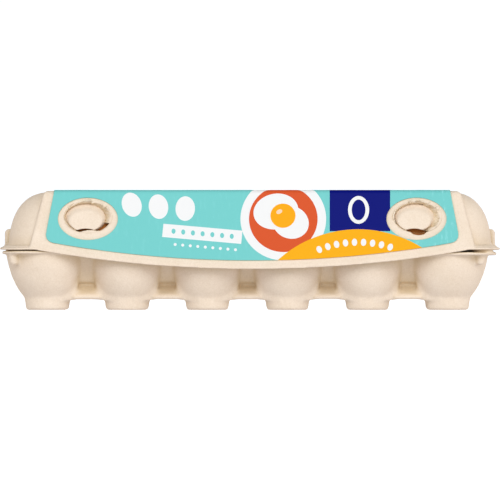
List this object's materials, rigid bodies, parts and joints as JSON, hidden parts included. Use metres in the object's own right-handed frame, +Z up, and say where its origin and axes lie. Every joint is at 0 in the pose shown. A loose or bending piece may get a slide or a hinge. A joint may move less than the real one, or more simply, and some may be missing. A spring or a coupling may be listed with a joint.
{
  "type": "egg carton",
  "caption": "Shut egg carton of moulded paper pulp with round feet, end domes, front locks and a printed label over its flat top and sloping front.",
  "frame": {"origin": "on the floor, under the middle of the carton's bounding box", "axes": "+X along the rows of six cups, +Y from the front panel towards the hinge, +Z up"},
  "size_m": [0.299, 0.1562, 0.0718],
  "materials": {
    "pulp": "warm cream moulded paper pulp, matt and finely fibrous, without coating",
    "label_paper": "smooth printed paper with a faint gloss, light teal with plain fields of navy, amber and white"
  },
  "bodies": {
    "root": {"carton": "pulp", "label": "label_paper"}
  },
  "joints": []
}
